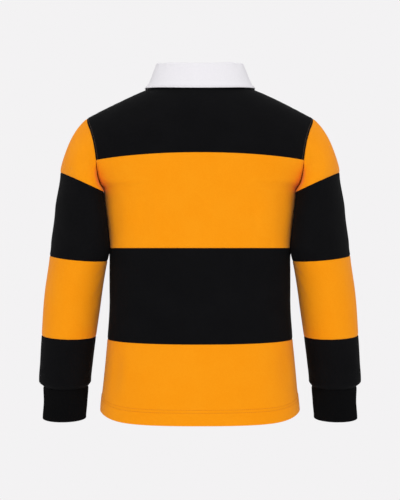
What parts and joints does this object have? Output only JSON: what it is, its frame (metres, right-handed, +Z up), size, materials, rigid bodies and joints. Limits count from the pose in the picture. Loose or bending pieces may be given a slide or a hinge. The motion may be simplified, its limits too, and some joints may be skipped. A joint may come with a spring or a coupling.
{
  "type": "rugby shirt",
  "caption": "Child's long-sleeved rugby shirt with wide sewn hoops, a drill collar, a neck placket and rib cuffs, filled out as if worn.",
  "frame": {"origin": "on the shirt's middle plane, between the high points of the shoulders, where the wearer's shoulders hold the shirt up", "axes": "+Z up; +Y towards the back, so the front with the placket faces -Y; +X towards the wearer's left"},
  "size_m": [0.5154, 0.204, 0.5703],
  "materials": {
    "black_jersey": "heavy cotton jersey, matt black",
    "amber_jersey": "heavy cotton jersey, matt amber",
    "black_rib": "fine cotton rib, matt black",
    "white_drill": "close cotton twill drill, matt white",
    "button_rubber": "moulded soft rubber, satin off-white"
  },
  "bodies": {
    "root": {"back_yoke": "black_jersey", "back_chest": "amber_jersey", "back_waist": "black_jersey", "back_hem": "amber_jersey", "front_yoke_left": "black_jersey", "front_yoke_right": "black_jersey", "front_chest": "amber_jersey", "front_waist": "black_jersey", "front_hem": "amber_jersey", "sleeve_head_left": "amber_jersey", "sleeve_head_right": "amber_jersey", "sleeve_upper_left": "black_jersey", "sleeve_upper_right": "black_jersey", "sleeve_elbow_left": "amber_jersey", "sleeve_elbow_right": "amber_jersey", "sleeve_forearm_left": "black_jersey", "sleeve_forearm_right": "black_jersey", "cuff_left": "black_rib", "cuff_right": "black_rib", "collar_stand": "white_drill", "collar_leaf": "white_drill", "placket_under": "white_drill", "placket_upper": "white_drill", "button_1": "button_rubber", "button_2": "button_rubber"}
  },
  "joints": []
}
